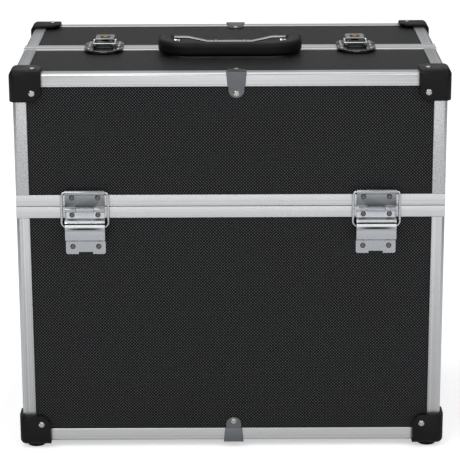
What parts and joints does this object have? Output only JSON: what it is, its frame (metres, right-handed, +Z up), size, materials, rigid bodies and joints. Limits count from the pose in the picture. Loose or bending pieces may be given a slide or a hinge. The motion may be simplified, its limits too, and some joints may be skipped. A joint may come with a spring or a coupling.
{
  "type": "tool case",
  "caption": "Aluminium framed tool case with a box body, two half lids on ring stay hinges that meet under key latches, and a folding carrying handle.",
  "frame": {"origin": "centre of the footprint, on the surface that the feet stand on", "axes": "+Z up, +X to the right along the width, the front face at -Y"},
  "size_m": [0.3884, 0.2556, 0.3614],
  "materials": {
    "textured_panel": "black embossed plastic skin, fine diamond dots",
    "frame_aluminium": "satin anodised",
    "foam_lining": "thin foam sheet",
    "moulded_cap": "moulded black",
    "plated_steel": "zinc plated, pressed",
    "rivet_steel": "bright plated",
    "ring_wire": "bright nickel plated wire",
    "latch_chrome": "chrome plated",
    "key_brass": "turned",
    "handle_plastic": "moulded black, semi matt"
  },
  "bodies": {
    "case_body": {"body_front_panel": "textured_panel", "body_back_panel": "textured_panel", "body_left_panel": "textured_panel", "body_right_panel": "textured_panel", "body_bottom_panel": "textured_panel", "body_corner_posts": "frame_aluminium", "body_base_rails": "frame_aluminium", "body_rim": "frame_aluminium", "body_lining": "foam_lining", "body_rivets": "rivet_steel", "base_clips": "plated_steel", "foot_cap_front_left": "moulded_cap", "foot_cap_front_right": "moulded_cap", "foot_cap_back_left": "moulded_cap", "foot_cap_back_right": "moulded_cap", "hinge_pins_front": "rivet_steel", "hinge_pins_rear": "rivet_steel", "hinge_leaf_lower_front_left": "plated_steel", "hinge_leaf_lower_front_right": "plated_steel", "hinge_leaf_lower_rear_left": "plated_steel", "hinge_leaf_lower_rear_right": "plated_steel"},
    "front_lid": {"front_lid_face_panel": "textured_panel", "front_lid_top_panel": "textured_panel", "front_lid_side_panels": "textured_panel", "front_lid_edge_rails": "frame_aluminium", "front_lid_rims": "frame_aluminium", "front_lid_lining": "foam_lining", "front_lid_corner_caps": "moulded_cap", "front_lid_clip": "plated_steel", "front_lid_rivets": "rivet_steel", "hinge_leaf_upper_front_left": "plated_steel", "hinge_leaf_upper_front_right": "plated_steel", "latch_strikes": "latch_chrome", "handle_strap": "latch_chrome", "handle_pins": "rivet_steel"},
    "rear_lid": {"rear_lid_face_panel": "textured_panel", "rear_lid_top_panel": "textured_panel", "rear_lid_side_panels": "textured_panel", "rear_lid_edge_rails": "frame_aluminium", "rear_lid_rims": "frame_aluminium", "rear_lid_lining": "foam_lining", "rear_lid_corner_caps": "moulded_cap", "rear_lid_clip": "plated_steel", "rear_lid_rivets": "rivet_steel", "hinge_leaf_upper_rear_left": "plated_steel", "hinge_leaf_upper_rear_right": "plated_steel", "latch_bases": "latch_chrome"},
    "carry_handle": {"handle_grip": "handle_plastic"},
    "ring_front_left": {"stay_ring_front_left": "ring_wire"},
    "ring_front_right": {"stay_ring_front_right": "ring_wire"},
    "ring_rear_left": {"stay_ring_rear_left": "ring_wire"},
    "ring_rear_right": {"stay_ring_rear_right": "ring_wire"},
    "lever_left": {"latch_lever_left": "latch_chrome"},
    "claw_left": {"latch_claw_left": "latch_chrome"},
    "key_left": {"key_cylinder_left": "key_brass"},
    "lever_right": {"latch_lever_right": "latch_chrome"},
    "claw_right": {"latch_claw_right": "latch_chrome"},
    "key_right": {"key_cylinder_right": "key_brass"}
  },
  "joints": [
    {"name": "front_lid_hinge", "type": "hinge", "parent": "case_body", "child": "front_lid", "pos_m": [0, -0.1226, 0.2262], "axis": [1, 0, 0], "range_deg": [0, 90]},
    {"name": "rear_lid_hinge", "type": "hinge", "parent": "case_body", "child": "rear_lid", "pos_m": [0, 0.1226, 0.2262], "axis": [-1, 0, 0], "range_deg": [0, 90]},
    {"name": "ring_front_left_swing", "type": "hinge", "parent": "front_lid", "child": "ring_front_left", "pos_m": [-0.129, -0.1226, 0.2419], "axis": [-1, 0, 0], "range_deg": [0, 56]},
    {"name": "ring_front_right_swing", "type": "hinge", "parent": "front_lid", "child": "ring_front_right", "pos_m": [0.129, -0.1226, 0.2419], "axis": [-1, 0, 0], "range_deg": [0, 56]},
    {"name": "ring_rear_left_swing", "type": "hinge", "parent": "rear_lid", "child": "ring_rear_left", "pos_m": [-0.129, 0.1226, 0.2419], "axis": [1, 0, 0], "range_deg": [0, 56]},
    {"name": "ring_rear_right_swing", "type": "hinge", "parent": "rear_lid", "child": "ring_rear_right", "pos_m": [0.129, 0.1226, 0.2419], "axis": [1, 0, 0], "range_deg": [0, 56]},
    {"name": "handle_pivot", "type": "hinge", "parent": "front_lid", "child": "carry_handle", "pos_m": [0, -0.007, 0.3551], "axis": [-1, 0, 0], "range_deg": [0, 90]},
    {"name": "lever_left_lift", "type": "hinge", "parent": "rear_lid", "child": "lever_left", "pos_m": [-0.116, 0.005, 0.3525], "axis": [1, 0, 0], "range_deg": [0, 95]},
    {"name": "claw_left_swing", "type": "hinge", "parent": "lever_left", "child": "claw_left", "pos_m": [-0.116, 0.009, 0.3529], "axis": [-1, 0, 0], "range_deg": [0, 96]},
    {"name": "key_left_turn", "type": "hinge", "parent": "lever_left", "child": "key_left", "pos_m": [-0.116, 0.0155, 0.3545], "axis": [0, 0, -1], "range_deg": [0, 90]},
    {"name": "lever_right_lift", "type": "hinge", "parent": "rear_lid", "child": "lever_right", "pos_m": [0.116, 0.005, 0.3525], "axis": [1, 0, 0], "range_deg": [0, 95]},
    {"name": "claw_right_swing", "type": "hinge", "parent": "lever_right", "child": "claw_right", "pos_m": [0.116, 0.009, 0.3529], "axis": [-1, 0, 0], "range_deg": [0, 96]},
    {"name": "key_right_turn", "type": "hinge", "parent": "lever_right", "child": "key_right", "pos_m": [0.116, 0.0155, 0.3545], "axis": [0, 0, -1], "range_deg": [0, 90]}
  ],
  "couplings": [
    {"joint": "ring_front_left_swing", "follows": "front_lid_hinge", "ratio": 0.6089},
    {"joint": "ring_front_right_swing", "follows": "front_lid_hinge", "ratio": 0.6089},
    {"joint": "ring_rear_left_swing", "follows": "rear_lid_hinge", "ratio": 0.6089},
    {"joint": "ring_rear_right_swing", "follows": "rear_lid_hinge", "ratio": 0.6089},
    {"joint": "claw_left_swing", "follows": "lever_left_lift", "ratio": 1},
    {"joint": "claw_right_swing", "follows": "lever_right_lift", "ratio": 1}
  ]
}
